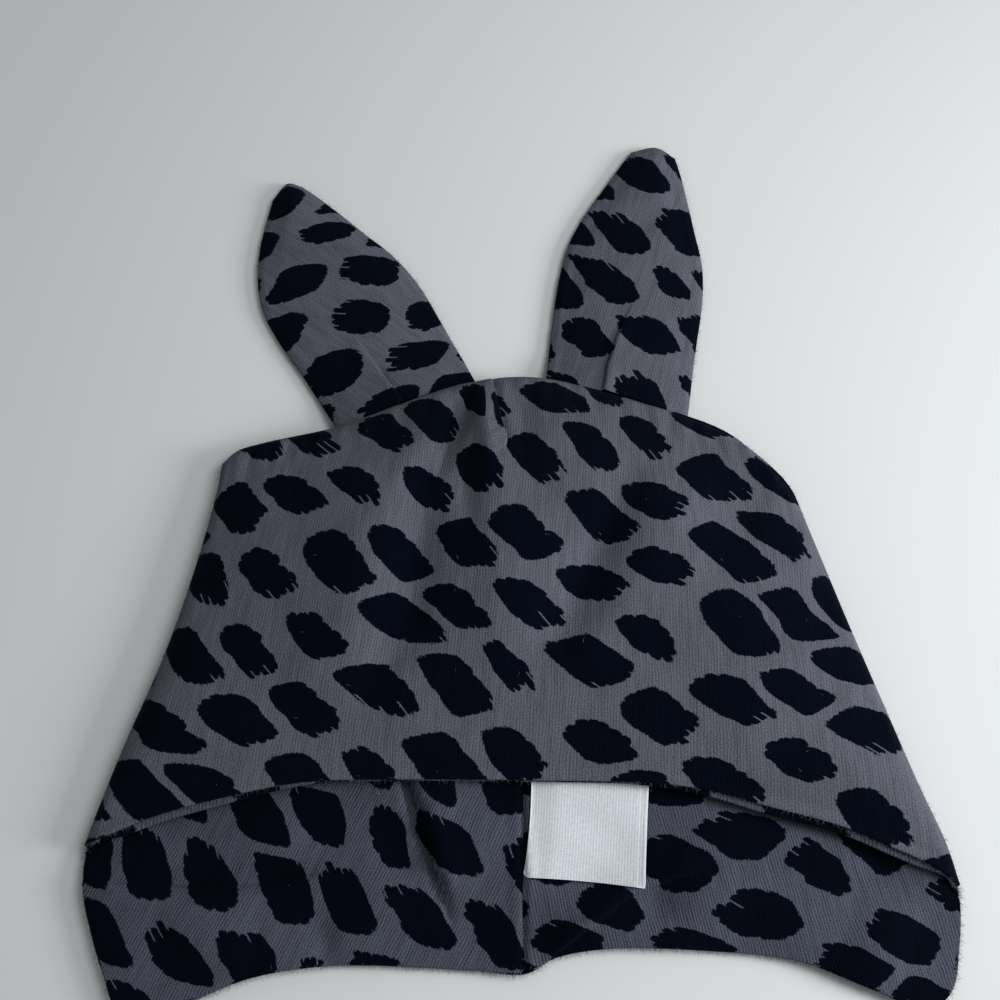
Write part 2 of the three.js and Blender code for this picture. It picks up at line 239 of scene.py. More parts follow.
# Ear outlines: along as a share of the length, and each edge as a share of half the width.
EAR_EDGES = {
    # side: (along, outer, inner)
    "left": (
        (0.0, 0.96, 0.96),
        (0.25, 1.04, 0.95),
        (0.42, 1.12, 0.92),
        (0.55, 1.13, 0.81),
        (0.68, 1.0, 0.61),
        (0.8, 0.76, 0.43),
        (0.9, 0.48, 0.27),
        (0.96, 0.3, 0.16),
    ),
    "right": (
        (0.0, 0.92, 0.92),
        (0.25, 0.93, 1.0),
        (0.42, 0.935, 1.02),
        (0.55, 0.87, 0.98),
        (0.68, 0.7, 0.83),
        (0.8, 0.54, 0.63),
        (0.9, 0.4, 0.46),
        (0.965, 0.29, 0.34),
    ),
}

# Ear pleats, each a route of (across, along) shares of half the ear's width and of its length.
EAR_PLEATS = {
    # side: name, route, top side, height, edge, reach, gap
    "left": ("left ear pleat", ((-0.04, -0.02), (-0.11, 0.124), (-0.2, 0.33)), "left", 0.8, 0.5, 5.0, 0.5),
    "right": (
        "right ear pleat",
        ((-0.2, 0.0), (-0.2, 0.1), (-0.13, 0.23), (0.03, 0.39)),
        "right", 1.3, 0.5, 6.0, 0.7,
    ),
}

COLUMNS = 200
ROWS = 92
EAR_COLUMNS = 64
EAR_ROWS = 96


def smooth(value):
    value = np.clip(value, 0, 1)
    return value * value * (3 - 2 * value)


def bell(value, breadth):
    """1 at zero, falling away smoothly on both sides."""
    return np.exp(-((value / breadth) ** 2))


def level_away(line, side=1):
    """Level steps of length 1 away from a line at each of its points, to its right where side is 1."""
    along = np.gradient(line, axis=0)
    away = side * np.stack([along[:, 1], -along[:, 0], 0 * along[:, 0]], 1)
    return away / np.maximum(np.linalg.norm(away, axis=1), 1e-9)[:, None]


class Curve:
    """A centripetal Catmull-Rom curve through points, read at shares of its length."""

    def __init__(self, points, per_span=40):
        points = np.asarray(points, float)
        ends = 2 * points[0] - points[1], 2 * points[-1] - points[-2]
        knots = np.vstack([ends[0], points, ends[1]])
        steps = np.sqrt(np.linalg.norm(np.diff(knots, axis=0), axis=1))
        spans = []
        for k in range(len(points) - 1):
            before, start, end, after = knots[k : k + 4]
            d0, d1, d2 = steps[k : k + 3]
            out = ((start - before) / d0 - (end - before) / (d0 + d1) + (end - start) / d1) * d1
            into = ((end - start) / d1 - (after - start) / (d1 + d2) + (after - end) / d2) * d1
            t = np.linspace(0, 1, per_span, endpoint=False)[:, None]
            cubic = 2 * start - 2 * end + out + into
            square = -3 * start + 3 * end - 2 * out - into
            spans.append(start + out * t + square * t**2 + cubic * t**3)
        self.path = np.vstack([*spans, points[-1:]])
        lengths = np.linalg.norm(np.diff(self.path, axis=0), axis=1)
        self.along = np.concatenate([[0], np.cumsum(lengths)])
        self.length = self.along[-1]

    def at(self, shares):
        where = np.asarray(shares) * self.length
        return np.stack([np.interp(where, self.along, self.path[:, k]) for k in (0, 1)], -1)

    def right_of(self, shares):
        """Steps of length 1 to the right of the curve, at shares of its length."""
        tiny = 1e-3
        along = self.at(np.clip(shares + tiny, 0, 1)) - self.at(np.clip(shares - tiny, 0, 1))
        along /= np.linalg.norm(along, axis=1)[:, None]
        return np.stack([along[:, 1], -along[:, 0]], 1)


def brim_line(across):
    """The line through both lower ends of the side folds, which isn't quite level."""
    return -BRIM_SKEW / 2 * across


def side_fold(side, top):
    foot = np.array([side * BRIM_WIDTH / 2, brim_line(side)])
    rows = []
    for up, left_in, right_in in SIDE_FOLDS:
        inward = left_in if side < 0 else right_in
        rows.append((foot[0] + (top[0] - foot[0]) * inward, foot[1] + (top[1] - foot[1]) * up))
    return Curve(rows)


def hem(rows, height):
    return Curve([(a * BRIM_WIDTH / 2, brim_line(a) + share * height) for a, share in rows])


crown = Curve([(a * CROWN_WIDTH / 2, up * CROWN_HEIGHT) for a, up in CROWN_SEAM])
left_fold = side_fold(-1, crown.at(0))
right_fold = side_fold(1, crown.at(1))
front_hem = hem(FRONT_HEM, HEM_ARCH)
back_hem = hem(BACK_HEM, -FLAP_DROP)

# The frame's origin is the middle of the outline, so the shift to it comes from the body's own box.
body_low = [round(c / 0.001, 3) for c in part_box("hat_body")[0]]
SHIFT_Y = body_low[1] - back_hem.path[:, 1].min()


def place(points):
    """Raw millimetres to the frame's metres."""
    points = np.array(points, float)
    points[..., 1] += SHIFT_Y
    return points * 0.001


def patch(bottom, top, left, right, across, up):
    """Coons patch: the surface between four edge curves, at a grid of shares."""
    a, u = across[None, :, None], up[:, None, None]
    ruled = bottom.at(across)[None] * (1 - u) + top.at(across)[None] * u
    ruled = ruled + left.at(up)[:, None] * (1 - a) + right.at(up)[:, None] * a
    low = bottom.at(0) * (1 - a) * (1 - u) + bottom.at(1) * a * (1 - u)
    return ruled - low - top.at(0) * (1 - a) * u - top.at(1) * a * u


def close_shares(length, steps, radius, start, end):
    """Shares from 0 to 1, with close steps in the rounded edge at each end that is asked for."""
    edge = np.array([0, 0.03, 0.1, 0.2, 0.34, 0.5, 0.7, 0.95, 1.25]) * radius / length
    first = edge if start else np.array([0.0])
    last = 1 - edge[::-1] if end else np.array([1.0])
    between = np.linspace(first[-1], last[0], steps + 1)[1:-1]
    return np.concatenate([first, between, last])


def route_distance(points, route):
    """For each point: its distance to a route, how far along the route its nearest place is, the side that
    it is on (1 on the right of a route that runs down), and the step from that nearest place."""
    best = np.full(points.shape[:-1], np.inf)
    along = np.zeros(points.shape[:-1])
    side = np.zeros(points.shape[:-1])
    away = np.zeros(points.shape)
    lengths = [np.linalg.norm(np.subtract(b, a)) for a, b in zip(route, route[1:])]
    done = 0
    for start, end, length in zip(route, route[1:], lengths):
        if length == 0:
            continue
        start, step = np.asarray(start), np.subtract(end, start)
        t = np.clip(((points - start) @ step) / length**2, 0, 1)
        off = points - start - t[..., None] * step
        distance = np.linalg.norm(off, axis=-1)
        closer = distance < best
        best = np.where(closer, distance, best)
        along = np.where(closer, (done + t * length) / sum(lengths), along)
        side = np.where(closer, np.sign(step[0] * off[..., 1] - step[1] * off[..., 0]), side)
        away = np.where(closer[..., None], off, away)
        done += length
    return best, along, side, away


def on_body(route):
    """Shares of half the crown's width and of its height, as raw millimetres."""
    return [(a * CROWN_WIDTH / 2, up * CROWN_HEIGHT) for a, up in route]


def gather(points, route, breadth=3.0, pull=0.84):
    """Draws the grid's lines together along a route, so that a sharp fold there has enough of them."""
    distance, _, _, away = route_distance(points, route)
    return points - away * (pull * bell(distance, breadth))[..., None]


def pleat_height(points, route, top_side, height, edge, reach, gap):
    """Height of one sharp fold: a rounded edge on the top side, and a narrow gap beside it."""
    distance, along, side, _ = route_distance(points, route)
    side = side if route[0][1] > route[-1][1] else -side
    over = side > 0 if top_side == "right" else side < 0
    fade = smooth((1 - along) * 3.5) if route[0][1] > route[-1][1] else smooth((1 - along) * 1.6)
    nose = np.sqrt(1 - (1 - np.minimum(distance / edge, 1)) ** 2)
    raised = height * nose * np.exp(-distance / reach)
    dipped = -gap * np.minimum(distance / 0.08, 1) * np.exp(-distance / (0.3 + 0.35 * gap))
    return fade * np.where(over, raised, dipped)


def folds(points, table):
    """Height of a table of soft folds at raw points."""
    height = np.zeros(points.shape[:-1])
    for _, route, breadth, depth in table:
        distance, along, _, _ = route_distance(points, on_body(route))
        ends = 0.35 + 0.65 * np.sin(np.pi * np.clip(along, 0.02, 0.98))
        height += depth * ends * bell(distance, breadth)
    return height


def waves(points, seed, size, amount):
    """Gentle uneven waves: a few sines of seeded directions, about size long."""
    rng = np.random.default_rng(seed)
    height = np.zeros(points.shape[:-1])
    for _ in range(7):
        turn, phase = rng.uniform(0, 2 * np.pi, 2)
        length = size * rng.uniform(0.6, 1.6)
        push = points[..., 0] * np.cos(turn) + points[..., 1] * np.sin(turn)
        height += np.sin(push * 2 * np.pi / length + phase)
    return amount * height / np.sqrt(7)


across = close_shares(crown.length, COLUMNS, FOLD_RADIUS, True, True)
hem_rows = np.array([0, 0.4, 0.9, 1.5, 2.3]) / left_fold.length
up = np.concatenate([hem_rows[:-1], close_shares(left_fold.length, ROWS, FOLD_RADIUS, False, True)[1:]])
up = np.sort(up)

silhouette = np.vstack([
    left_fold.at(np.linspace(0, 1, 200)),
    crown.at(np.linspace(0, 1, 300))[1:],
    right_fold.at(np.linspace(1, 0, 200))[1:],
])


# The corner, in the same shares, that the small gathers at the right end of the crown seam spread from.
CORNER_FAN = (0.85, 0.735)
CENTRE_BACK = ((BACK_SEAM_X, 60.0), (BACK_SEAM_X, -40.0))


class Panel:
    """The front or the back of the body, as a grid of raw places with their distance from the fold."""

    def __init__(self, bottom, front):
        self.front = front
        places = patch(bottom, crown, left_fold, right_fold, across, up)
        border = places.copy()
        for _, route, *_ in FRONT_PLEATS if front else BACK_PLEATS:
            places = gather(places, on_body(route))
        if not front:
            places = gather(places, CENTRE_BACK, 2.2, 0.8)
        places[:, [0, -1]] = border[:, [0, -1]]
        places[-1] = border[-1]
        places[0] = bottom.at(across)
        self.places = places
        flat = self.places.reshape(-1, 2)
        starts, ends = silhouette[:-1], silhouette[1:]
        best = np.full(len(flat), np.inf)
        near = np.zeros_like(flat)
        normal = np.zeros_like(flat)
        for start, end in zip(starts, ends):
            step = end - start
            t = np.clip(((flat - start) @ step) / (step @ step), 0, 1)
            nearest = start + t[:, None] * step
            distance = np.linalg.norm(flat - nearest, axis=1)
            closer = distance < best
            best = np.where(closer, distance, best)
            near[closer] = nearest[closer]
            normal[closer] = np.array([step[1], -step[0]]) / np.linalg.norm(step)
        shape = self.places.shape[:2]
        distance = best.reshape(shape)
        distance[:, [0, -1]] = 0
        distance[-1] = 0
        inward = np.where((best > 0.05)[:, None], (flat - near) / np.maximum(best, 1e-9)[:, None], normal)
        self.distance = distance
        self.inward = inward.reshape(*shape, 2)
        self.inward[:, 0] = left_fold.right_of(up)
        self.inward[:, -1] = -right_fold.right_of(up)
        self.inward[-1] = crown.right_of(across)
        self.lift = self.front_rise() if front else self.back_lift()

    def front_rise(self):
        raw, a, u = self.places, across[None], up[:, None]
        side = 1 - np.abs(2 * a - 1) ** 3.4
        arch = 1 - np.abs(2 * u - 1) ** 2.8
        base = MOUTH_RISE * (1 - u) + CROWN_RISE * arch * (0.85 + 0.25 * u)
        dips = folds(raw, FRONT_FOLDS) + waves(raw, 3, 34, 0.35) + waves(raw, 5, 13, 0.1)
        fade = smooth(self.distance / (2.2 * FOLD_RADIUS)) * (0.5 + 0.5 * smooth(u * 5))
        pleats = sum(pleat_height(raw, on_body(route), *rest) for _, route, *rest in FRONT_PLEATS)
        seams = self.hem_bead() + self.crown_groove() + smooth(self.distance / 2) * self.crown_puckers()
        return side * base + fade * dips + smooth(self.distance / 2.4) * pleats + seams

    def hem_bead(self):
        """The front hem's turned edge, a little thicker than the cloth, with a groove behind it."""
        depth = (up * left_fold.length)[:, None]
        bead = 0.3 * bell(depth, 1.1) - 0.16 * bell(depth - 2.2, 0.7)
        return bead * smooth(self.distance / 4)

    def crown_puckers(self):
        """Small gathers along the crown seam, and a fan of them at the right corner."""
        near_top = smooth((up[:, None] - 0.8) / 0.12)
        ripple = np.sin(self.places[..., 0] * 2 * np.pi / 5.2 + 1.4 * np.sin(self.places[..., 0] / 9))
        gathers = near_top * 0.22 * ripple * bell(self.distance - 4, 4)
        corner = np.array(CORNER_FAN) * (CROWN_WIDTH / 2, CROWN_HEIGHT)
        spoke = self.places - corner
        radius = np.hypot(spoke[..., 0], spoke[..., 1])
        turn = np.arctan2(spoke[..., 1], spoke[..., 0])
        fan = np.cos(turn * 38) * bell(radius - 5.5, 2.6) * bell(turn - 0.8, 0.5)
        return gathers + 0.35 * fan

    def crown_groove(self):
        """The crown seam's groove, which shows inside the edge on the right, where the back turns over."""
        near_top = smooth((up[:, None] - 0.9) / 0.04) * smooth((across[None] - 0.62) / 0.1)
        return -0.8 * near_top * bell(self.distance - 1.3, 0.35)

    def back_lift(self):
        """Where the back's free lower part stands off the surface."""
        raw, fade_length, room_under_front, more_below_hem = self.places, 24, 3.3, 1.6
        below = smooth((HEM_ARCH + fade_length - raw[..., 1]) / fade_length)
        bumps = folds(raw, BACK_FOLDS) + waves(raw, 11, 30, 0.4) + waves(raw, 12, 12, 0.12) + 1.0
        bumps = bumps + sum(pleat_height(raw, on_body(route), *rest) for _, route, *rest in BACK_PLEATS)
        off = np.abs(raw[..., 0] - BACK_SEAM_X)
        seam = 0.45 * bell(off - 1.1, 0.9) - 0.7 * bell(off, 0.3)
        edge = smooth(self.distance / 4)
        highest = room_under_front + more_below_hem * smooth((13 - raw[..., 1]) / 8)
        return below * edge * np.clip(bumps + seam, 0, highest)

    def skin(self, inset, roll=0.0):
        """One side of one layer of cloth, inset from the outermost one, as raw points."""
        flat = np.minimum(self.distance / FOLD_RADIUS, 1)
        cosine, sine = 1 - flat, np.sqrt(1 - (1 - flat) ** 2)
        plan = self.places + self.inward * (inset * cosine)[..., None]
        rise = (FOLD_RADIUS - inset) * sine
        z = FOLD_RADIUS + rise + self.lift if self.front else FOLD_RADIUS - rise + self.lift
        points = np.concatenate([plan, z[..., None]], -1)
        if roll and self.front:
            shown = 0.12 + 0.88 * (smooth((0.32 - across) / 0.2) + smooth((across - 0.58) / 0.2))
            share = shown * sine[0] ** 4 * roll * smooth(self.distance[0] / 9)
            fade = np.exp(-(up * left_fold.length) / 2.0)[:, None]
            points[..., 1] -= fade * share
            points[..., 2] -= fade * share * 0.35
        return points


front_panel = Panel(front_hem, True)
back_panel = Panel(back_hem, False)


class Sheets:
    """Collects grids of points, with a flat pattern place for each, into one mesh."""

    def __init__(self):
        self.points, self.flats, self.faces, self.count = [], [], [], 0

    def add(self, grid, flat, turned=False, other=None):
        """A grid of quads. other is a second flat pattern place, and the share of it at each point."""
        rows, columns = grid.shape[:2]
        index = np.arange(rows * columns).reshape(rows, columns)
        quads = np.stack([index[:-1, :-1], index[:-1, 1:], index[1:, 1:], index[1:, :-1]], -1).reshape(-1, 4)
        if turned:
            quads = quads[:, ::-1]
        corners = flat.reshape(-1, 2)[quads]
        if other is not None:
            other_flat, share = other
            chosen = share.reshape(-1)[quads].mean(axis=1) > 0.5
            corners = np.where(chosen[:, None, None], other_flat.reshape(-1, 2)[quads], corners)
        self.faces.append(quads + self.count)
        self.points.append(grid.reshape(-1, 3))
        self.flats.append(corners)
        self.count += rows * columns

    def mesh(self, name):
        points = place(np.vstack(self.points))
        faces = np.vstack(self.faces)
        flats = np.vstack(self.flats)
        keys = np.round(points * 1e6).astype(np.int64)
        _, first, merged = np.unique(keys, axis=0, return_index=True, return_inverse=True)
        corners = merged.ravel()[faces]
        kept = corners != np.roll(corners, 1, axis=1)
        polygons, uvs = [], []
        for face, flat, keep, count in zip(corners.tolist(), flats, kept.tolist(), kept.sum(axis=1)):
            if count == 4:
                polygons.append(face)
                uvs.append(flat)
            elif count == 3:
                polygons.append([corner for corner, k in zip(face, keep) if k])
                uvs.append(flat[keep])
        mesh = bpy.data.meshes.new(name)
        mesh.from_pydata(points[first].tolist(), [], polygons)
        layer = mesh.uv_layers.new(name="grain")
        layer.data.foreach_set("uv", np.vstack(uvs).astype(np.float32).ravel())
        mesh.polygons.foreach_set("use_smooth", [True] * len(polygons))
        mesh.update()
        return mesh


def add_piece(name, sheets, material, slot, *nodes):
    piece = bpy.data.objects.new(name, sheets.mesh(name))
    bpy.context.scene.collection.objects.link(piece)
    piece.data.materials.append(material)
    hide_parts(*nodes)
    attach(piece, "root")
    return piece


def rim(outer, inner, steps=5):
    """Rows of points that round the edge between two skins' first rows. It bulges away from the panel, and
    straight down at both ends, where the front's edge meets the back's."""
    middle, half = (outer[0] + inner[0]) / 2, (outer[0] - inner[0]) / 2
    middle_share = smooth(np.minimum(across, 1 - across) / 0.03)[:, None]
    out = middle_share * level_away(middle) + (1 - middle_share) * np.array([0, -0.1, 0])
    out *= np.linalg.norm(half, axis=1)[:, None]
    turns = np.linspace(0, np.pi, steps + 2)
    rows = [middle + half * np.cos(t) + out * np.sin(t) for t in turns]
    rows[0], rows[-1] = outer[0], inner[0]
    return np.array(rows)


# Grain: where a place of each panel lies in the flat cloth, u across the wales and v along them.
FRONT_APEX = (42.0, 600.0)
FRONT_RADIUS = 533.0
LEFT_BACK_GRAIN = math.radians(26)
RIGHT_BACK_GRAIN = math.radians(-13)
DART_GRAIN = math.radians(47)

# Where on the roll the pieces are cut, in the flat cloth's millimetres: the backs and the lining's front have
# one place for each of their two grains.
DART_CUT = (38.0, 0.0)
BACK_CUTS = (240.0, 90.0), (251.0, 96.0)
LINING_FRONT_CUT = (37.0, 11.0)
LINING_BACK_CUT = (-61.0, 29.0)
LINING_SECOND_STEP = (9.0, 5.0)
EAR_CUT = (150.0, 44.0)
EAR_CUT_STEP = 68
EAR_BACK_STEP = (70.0, 15.0)


def front_grain(raw):
    x, y = raw[..., 0] - FRONT_APEX[0], FRONT_APEX[1] - raw[..., 1]
    return np.stack([np.arctan2(x, y) * FRONT_RADIUS, FRONT_RADIUS - np.hypot(x, y)], -1)


def turn_cloth(flat, turn):
    x, y = flat[..., 0], flat[..., 1]
    return np.stack([x * np.cos(turn) - y * np.sin(turn), x * np.sin(turn) + y * np.cos(turn)], -1)


def turned_grain(raw, turn):
    return turn_cloth(raw - (BACK_SEAM_X, 0), turn)


def dart_band(raw):
    """1 on the dart's folded band, between its ridge and its edge, where the wales slant, otherwise 0."""
    edge = route_distance(raw, on_body(FRONT_PLEATS[0][1]))
    ridge = route_distance(raw, on_body(FRONT_FOLDS[0][1]))
    inside = (edge[2] < 0) & (ridge[2] > 0) & (edge[1] < 0.97) & (edge[0] < 6)
    return inside.astype(float)


def turned_over(flat, shift):
    """The same cloth cut the other way up, from another place of the roll."""
    return np.asarray(shift) - flat


def to_linear(value):
    value /= 255
    return value / 12.92 if value <= 0.04045 else ((value + 0.055) / 1.055) ** 2.4


def colour(text):
    return (*[to_linear(int(text[k : k + 2], 16)) for k in (1, 3, 5)], 1.0)


def add(tree, kind, settings=None, links=None, **values):
    """Adds a node: settings are its own options, links its inputs from other sockets, values its numbers."""
    node = tree.nodes.new("ShaderNode" + kind)
    for key, value in (settings or {}).items():
        setattr(node, key, value)
    for key, value in values.items():
        node.inputs[key].default_value = value
    for key, socket in (links or {}).items():
        tree.links.new(socket, node.inputs[key])
    return node


class Value:
    """A number in a material's nodes. Sums on it add Math nodes, so they read as sums."""

    def __init__(self, tree, socket):
        self.tree, self.socket = tree, socket

    def calc(self, operation, *terms):
        node = add(self.tree, "Math", {"operation": operation})
        for k, term in enumerate([self, *terms]):
            if isinstance(term, Value):
                self.tree.links.new(term.socket, node.inputs[k])
            else:
                node.inputs[k].default_value = term
        return Value(self.tree, node.outputs[0])

    def __add__(self, other):
        return self.calc("ADD", other)

    def __sub__(self, other):
        return self.calc("SUBTRACT", other)

    def __mul__(self, other):
        return self.calc("MULTIPLY", other)

    def __truediv__(self, other):
        return self.calc("DIVIDE", other)

    def __pow__(self, power):
        return self.calc("POWER", power)


def combine(tree, x, y):
    return add(tree, "CombineXYZ", links={0: x.socket, 1: y.socket}).outputs[0]


def separate(tree, socket, kind="SeparateColor"):
    return [Value(tree, part) for part in add(tree, kind, links={0: socket}).outputs]


def noise(tree, place, scale, detail):
    """Soft noise round zero over places in the flat cloth, its spots about 1 / scale millimetres apart."""
    node = add(tree, "TexNoise", {"noise_dimensions": "2D"}, {"Vector": place}, Scale=scale, Detail=detail)
    return Value(tree, node.outputs[0]) - 0.5


def toned(tree, text, tone):
    """One colour, made lighter and darker by a tone round 1."""
    node = add(tree, "VectorMath", {"operation": "SCALE"}, {"Scale": tone.socket})
    node.inputs[0].default_value = colour(text)[:3]
    return node.outputs[0]


def new_material(name):
    material = bpy.data.materials.new(name)
    material.use_nodes = True
    tree = material.node_tree
    tree.nodes.clear()
    shader = add(tree, "BsdfPrincipled")
    add(tree, "OutputMaterial", links={0: shader.outputs[0]})
    return material, tree, shader


def dress(tree, shader, tint, height, constants):
    """Gives a material its colour, its relief in millimetres and its constants."""
    bump = add(tree, "Bump", None, {"Height": height.socket}, Strength=1.0, Distance=0.001)
    tree.links.new(tint, shader.inputs["Base Color"])
    tree.links.new(bump.outputs[0], shader.inputs["Normal"])
    for key, value in constants.items():
        shader.inputs[key].default_value = value


# Brush dabs: millimetres along and across the dab, and the dab's lean from the wales.
DAB_LEAN = math.radians(48)
DAB_PITCH_ALONG = 18.6
DAB_PITCH_ACROSS = 12.4
DAB_STAGGER = -0.42
DAB_HALF_LENGTH = 7.9
DAB_HALF_WIDTH = 4.6
DAB_ROUNDNESS = 2.8
DAB_JITTER = 0.25
DAB_DRIFT = 6.5
DAB_CLEARANCE = 0.9
DAB_SOFT_EDGE = 0.13
FAR_BRISTLE = 1.55
START_BRISTLE = 2.3
SIDE_LOBE = 2.9


def lobes(tree, place, width, chance):
    """Bristle marks side by side: each one's own random number, its rounded end, and the slit beside it."""
    count = chance * 77.0 + place / width
    number, share = count.calc("FLOOR"), count.calc("FRACT")
    random = add(tree, "TexWhiteNoise", {"noise_dimensions": "1D"}, {"W": number.socket})
    parts = separate(tree, random.outputs["Color"])
    slit = share.calc("LESS_THAN", 0.2) * parts[2].calc("GREATER_THAN", 0.45)
    return parts[0] - 0.5, (share - share * share) * 4.0, slit * parts[1]


def brush_dabs(tree, u, v):
    """Print mask of near-black dabs, 1 in a dab. Each dab starts blunt and ends in dry bristle marks."""
    flat = combine(tree, u, v)
    drift = add(tree, "TexNoise", {"noise_dimensions": "2D"}, {"Vector": flat}, Scale=0.03, Detail=0.0)
    drift = separate(tree, drift.outputs["Color"])
    u, v = u + (drift[0] - 0.5) * DAB_DRIFT, v + (drift[1] - 0.5) * DAB_DRIFT
    sine, cosine = math.sin(DAB_LEAN), math.cos(DAB_LEAN)
    cell_y = (u * cosine + v * sine) / DAB_PITCH_ACROSS
    cell_x = cell_y * DAB_STAGGER + (u * sine - v * cosine) / DAB_PITCH_ALONG
    cell = combine(tree, cell_x, cell_y)

    def cells(feature):
        options = {"voronoi_dimensions": "2D", "feature": feature}
        return add(tree, "TexVoronoi", options, {"Vector": cell}, Scale=1.0, Randomness=DAB_JITTER).outputs

    spots, borders = cells("F1"), cells("DISTANCE_TO_EDGE")
    centre = separate(tree, spots["Position"], "SeparateXYZ")
    chance = separate(tree, spots["Color"])
    more = add(tree, "TexWhiteNoise", {"noise_dimensions": "3D"}, {"Vector": spots["Color"]})
    more = separate(tree, more.outputs["Color"])

    # Millimetres along (a) and across (b) the dab from its middle, turned and sheared a little by chance.
    step_x, step_y = cell_x - centre[0], cell_y - centre[1]
    b = step_y * DAB_PITCH_ACROSS
    a = (step_x - step_y * DAB_STAGGER) * DAB_PITCH_ALONG
    turn = more[0] * 0.3 - 0.15
    turned_a = a + turn * b
    b = b - turn * a
    a = turned_a + (more[1] * -0.5 - 0.2) * b

    # How far the dab reaches each way, with its bristle marks.
    size = chance[2] ** 0.5 * 0.32 + 0.71
    half_length = size * (chance[0] * 2.0 + (DAB_HALF_LENGTH - 1.0))
    half_width = size * (chance[1] * 1.5 + (DAB_HALF_WIDTH - 0.5))
    bow_place = chance[0] * 91.0 + a * 0.16
    bow = add(tree, "TexNoise", {"noise_dimensions": "1D"}, {"W": bow_place.socket}, Scale=1.0, Detail=1.0)
    bow = Value(tree, bow.outputs[0]) - 0.5
    random, round_end, slit = lobes(tree, b, FAR_BRISTLE, chance[1])
    far = half_length + random * 2.6 + round_end * 0.55 - slit * (more[2] * 4.5 + 0.8)
    random, round_end, _ = lobes(tree, b, START_BRISTLE, chance[2])
    start = half_length + random + round_end * 0.6
    random, round_end, _ = lobes(tree, a, SIDE_LOBE, more[0])
    upper = half_width + random * 0.6 + round_end * 0.4 + bow * 2.4
    lower = half_width + bow * 1.6

    # Millimetres inside the dab's edge, which also keeps clear of the next dab's cell.
    share_a = (a / far).calc("MAXIMUM", a * -1.0 / start) ** DAB_ROUNDNESS
    share_b = (b / upper).calc("MAXIMUM", b * -1.0 / lower) ** DAB_ROUNDNESS
    inside = ((share_a + share_b) ** (1 / DAB_ROUNDNESS) - 1.0) * -DAB_HALF_WIDTH
    clear = Value(tree, borders["Distance"]) * DAB_PITCH_ACROSS - DAB_CLEARANCE + bow * 1.5
    inside = inside.calc("SMOOTH_MIN", clear, 1.6) + noise(tree, flat, 1.7, 1.0) * 0.5
    mask = add(tree, "MapRange", {"interpolation_type": "SMOOTHSTEP"}, {"Value": inside.socket})
    mask.inputs["From Min"].default_value = -DAB_SOFT_EDGE
    mask.inputs["From Max"].default_value = DAB_SOFT_EDGE
    return mask.outputs[0]


def printed_jersey(name, ground, dab, painted_furrow_shade):
    """Fine cotton single jersey, printed: wales of 0.64 mm as thin ribs, their pale crests and dark furrows
    painted light and shade in the colour as well as bumped, short courses across them, a dry matt surface
    with faint fuzz, and a pigment print that hides the ground."""
    material, tree, shader = new_material(name)
    grain = add(tree, "UVMap", {"uv_map": "grain"}).outputs[0]
    u, v, _ = separate(tree, grain, "SeparateXYZ")
    wobble = u + noise(tree, grain, 0.16, 1.0) * 0.7
    rib = (wobble * (2 * math.pi / WALE)).calc("SINE")
    courses = (rib * 0.9 + v * (2 * math.pi / COURSE)).calc("SINE")
    patchy = noise(tree, combine(tree, u, v * 0.25), 0.8, 2.0) * 2.4 + 1.0
    rib = rib * patchy.calc("MAXIMUM", 0.15)
    streak = noise(tree, combine(tree, u, v * 0.12), 0.9, 3.0)
    fuzz = noise(tree, grain, 3.4, 2.0)
    blotch = noise(tree, grain, 0.07, 2.0)
    # The ribs' and courses' light and dark lines in the colour are painted light and shade on the knit's
    # relief; streaks, fuzz and blotches are the yarn's own tone.
    tone = rib * painted_furrow_shade + 1.0 + courses * 0.05 + streak * 0.5 + fuzz * 1.35 + blotch * 0.2
    sides = {0: brush_dabs(tree, u, v), 6: toned(tree, ground, tone), 7: toned(tree, dab, tone + fuzz * 0.9)}
    printed = add(tree, "Mix", {"data_type": "RGBA"}, sides)
    height = rib * 0.02 + courses * 0.01 + fuzz * 0.09
    constants = {"Roughness": 0.95, "Specular IOR Level": 0.06, "Sheen Weight": 0.02, "Sheen Roughness": 0.5}
    dress(tree, shader, printed.outputs[2], height, constants)
    return material


def woven_ribbon(name):
    """Woven polyester satin ribbon for a label: bare white, fine weft ribs across it and a soft gloss."""
    weft_pitch, thread_pitch = 0.55, 0.62
    material, tree, shader = new_material(name)
    grain = add(tree, "UVMap", {"uv_map": "grain"}).outputs[0]
    u, v, _ = separate(tree, grain, "SeparateXYZ")
    rib = (v * (2 * math.pi / weft_pitch)).calc("SINE")
    thread = (u * (2 * math.pi / thread_pitch)).calc("SINE")
    tone = thread * 0.045 + 1.0 + rib * 0.012 + noise(tree, grain, 1.4, 2.0) * 0.3
    height = rib * 0.008 + thread * 0.009
    dress(tree, shader, toned(tree, "#c6cbd0", tone), height, {"Roughness": 0.5, "Sheen Weight": 0.1})
    return material


jersey = printed_jersey("printed cotton single jersey", "#5f606a", "#060d1c", 0.075)
# The lining is the same jersey with a darker ground and print: painted shade, for the shade it lies in below
# the front hem.
shaded_lining_jersey = printed_jersey("printed cotton single jersey, lining", "#515460", "#060c1a", 0.26)
ribbon = woven_ribbon("woven satin ribbon")


